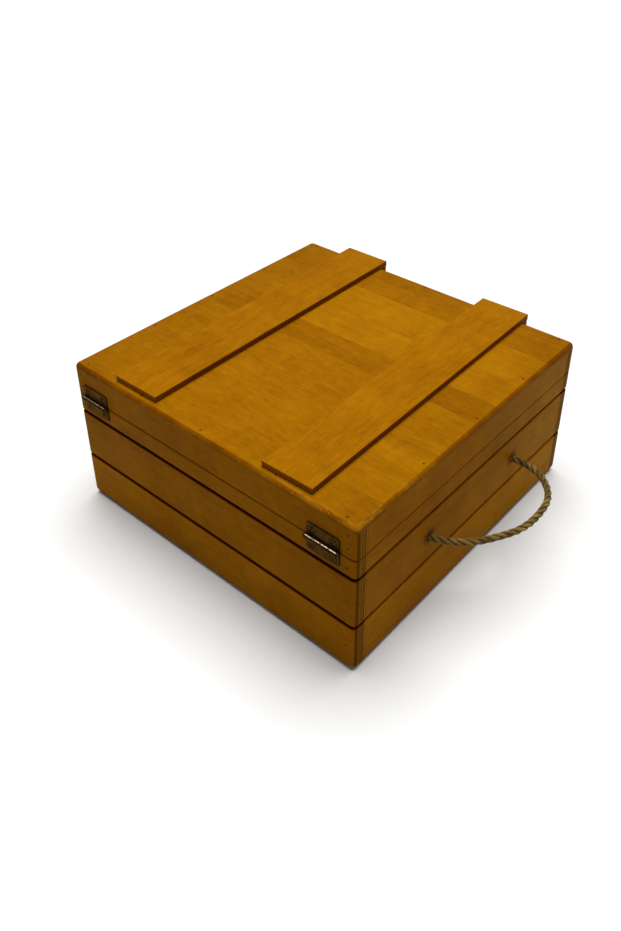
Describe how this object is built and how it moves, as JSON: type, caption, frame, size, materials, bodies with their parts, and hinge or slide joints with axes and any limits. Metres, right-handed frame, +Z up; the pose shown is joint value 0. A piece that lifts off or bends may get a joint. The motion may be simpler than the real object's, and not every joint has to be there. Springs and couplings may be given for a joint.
{
  "type": "chip rack case",
  "caption": "Square hinged wooden case with lid battens, routed grooves, rope handles, a front hasp and lift-out gaming chip trays.",
  "frame": {"origin": "centre of the case's bottom face", "axes": "+Z up through the lid, +Y towards the hinged rear, -Y the front with the hasp, +X to the right as seen from the front"},
  "size_m": [0.4096, 0.3108, 0.1456],
  "materials": {
    "case_wood": "honey stain, semi-gloss varnish",
    "lid_wood": "honey stain, semi-gloss varnish",
    "batten_wood": "honey stain, semi-gloss varnish",
    "tray_wood": "clear satin varnish",
    "felt": "short-napped felt",
    "antique_metal": "dark antique bronze, worn bright on edges",
    "screw_metal": "dark antique bronze",
    "nail_metal": "dark iron brads",
    "rope": "three-strand natural fibre rope"
  },
  "bodies": {
    "case": {"rear_panel": "case_wood", "front_panel": "case_wood", "left_side_panel": "case_wood", "right_side_panel": "case_wood", "bottom_panel": "case_wood", "floor_lining": "felt", "left_runner": "tray_wood", "right_runner": "tray_wood", "hinge_left_case_leaf": "antique_metal", "hinge_left_pin": "antique_metal", "rope_knots_left": "rope", "hinge_right_case_leaf": "antique_metal", "hinge_right_pin": "antique_metal", "rope_knots_right": "rope", "hinge_screws_case": "screw_metal", "hasp_screws_case": "screw_metal", "hasp_catch": "antique_metal", "corner_nails_case": "nail_metal", "lower_tray_bottom": "tray_wood", "lower_tray_end_boards": "tray_wood", "lower_tray_side_boards": "tray_wood", "lower_tray_dividers": "tray_wood", "upper_tray_bottom": "tray_wood", "upper_tray_end_boards": "tray_wood", "upper_tray_side_boards": "tray_wood", "upper_tray_dividers": "tray_wood"},
    "lid": {"lid_rear_rail": "case_wood", "lid_front_rail": "case_wood", "lid_left_rail": "case_wood", "lid_right_rail": "case_wood", "lid_top_panel": "lid_wood", "lid_lining": "felt", "batten_left": "batten_wood", "batten_right": "batten_wood", "hinge_left_lid_leaf": "antique_metal", "hinge_right_lid_leaf": "antique_metal", "hinge_screws_lid": "screw_metal", "hasp_leaf": "antique_metal", "hasp_pin": "antique_metal", "hasp_screws_lid": "screw_metal", "front_strip_left": "batten_wood", "front_strip_right": "batten_wood", "lid_nails": "nail_metal", "corner_nails_lid": "nail_metal"},
    "hasp": {"hasp_flap": "antique_metal"},
    "rope_left": {"rope_loop_left": "rope"},
    "rope_right": {"rope_loop_right": "rope"}
  },
  "joints": [
    {"name": "lid_hinge", "type": "hinge", "parent": "case", "child": "lid", "pos_m": [0, 0.15175, 0.11075], "axis": [-1, 0, 0], "range_deg": [0, 180]},
    {"name": "hasp_hinge", "type": "hinge", "parent": "lid", "child": "hasp", "pos_m": [0, -0.15185, 0.1336], "axis": [-1, 0, 0], "range_deg": [0, 120]},
    {"name": "rope_left_swing", "type": "hinge", "parent": "case", "child": "rope_left", "pos_m": [-0.1533, 0, 0.068], "axis": [0, 1, 0], "range_deg": [-75, 75]},
    {"name": "rope_right_swing", "type": "hinge", "parent": "case", "child": "rope_right", "pos_m": [0.1533, 0, 0.068], "axis": [0, -1, 0], "range_deg": [-75, 75]}
  ]
}
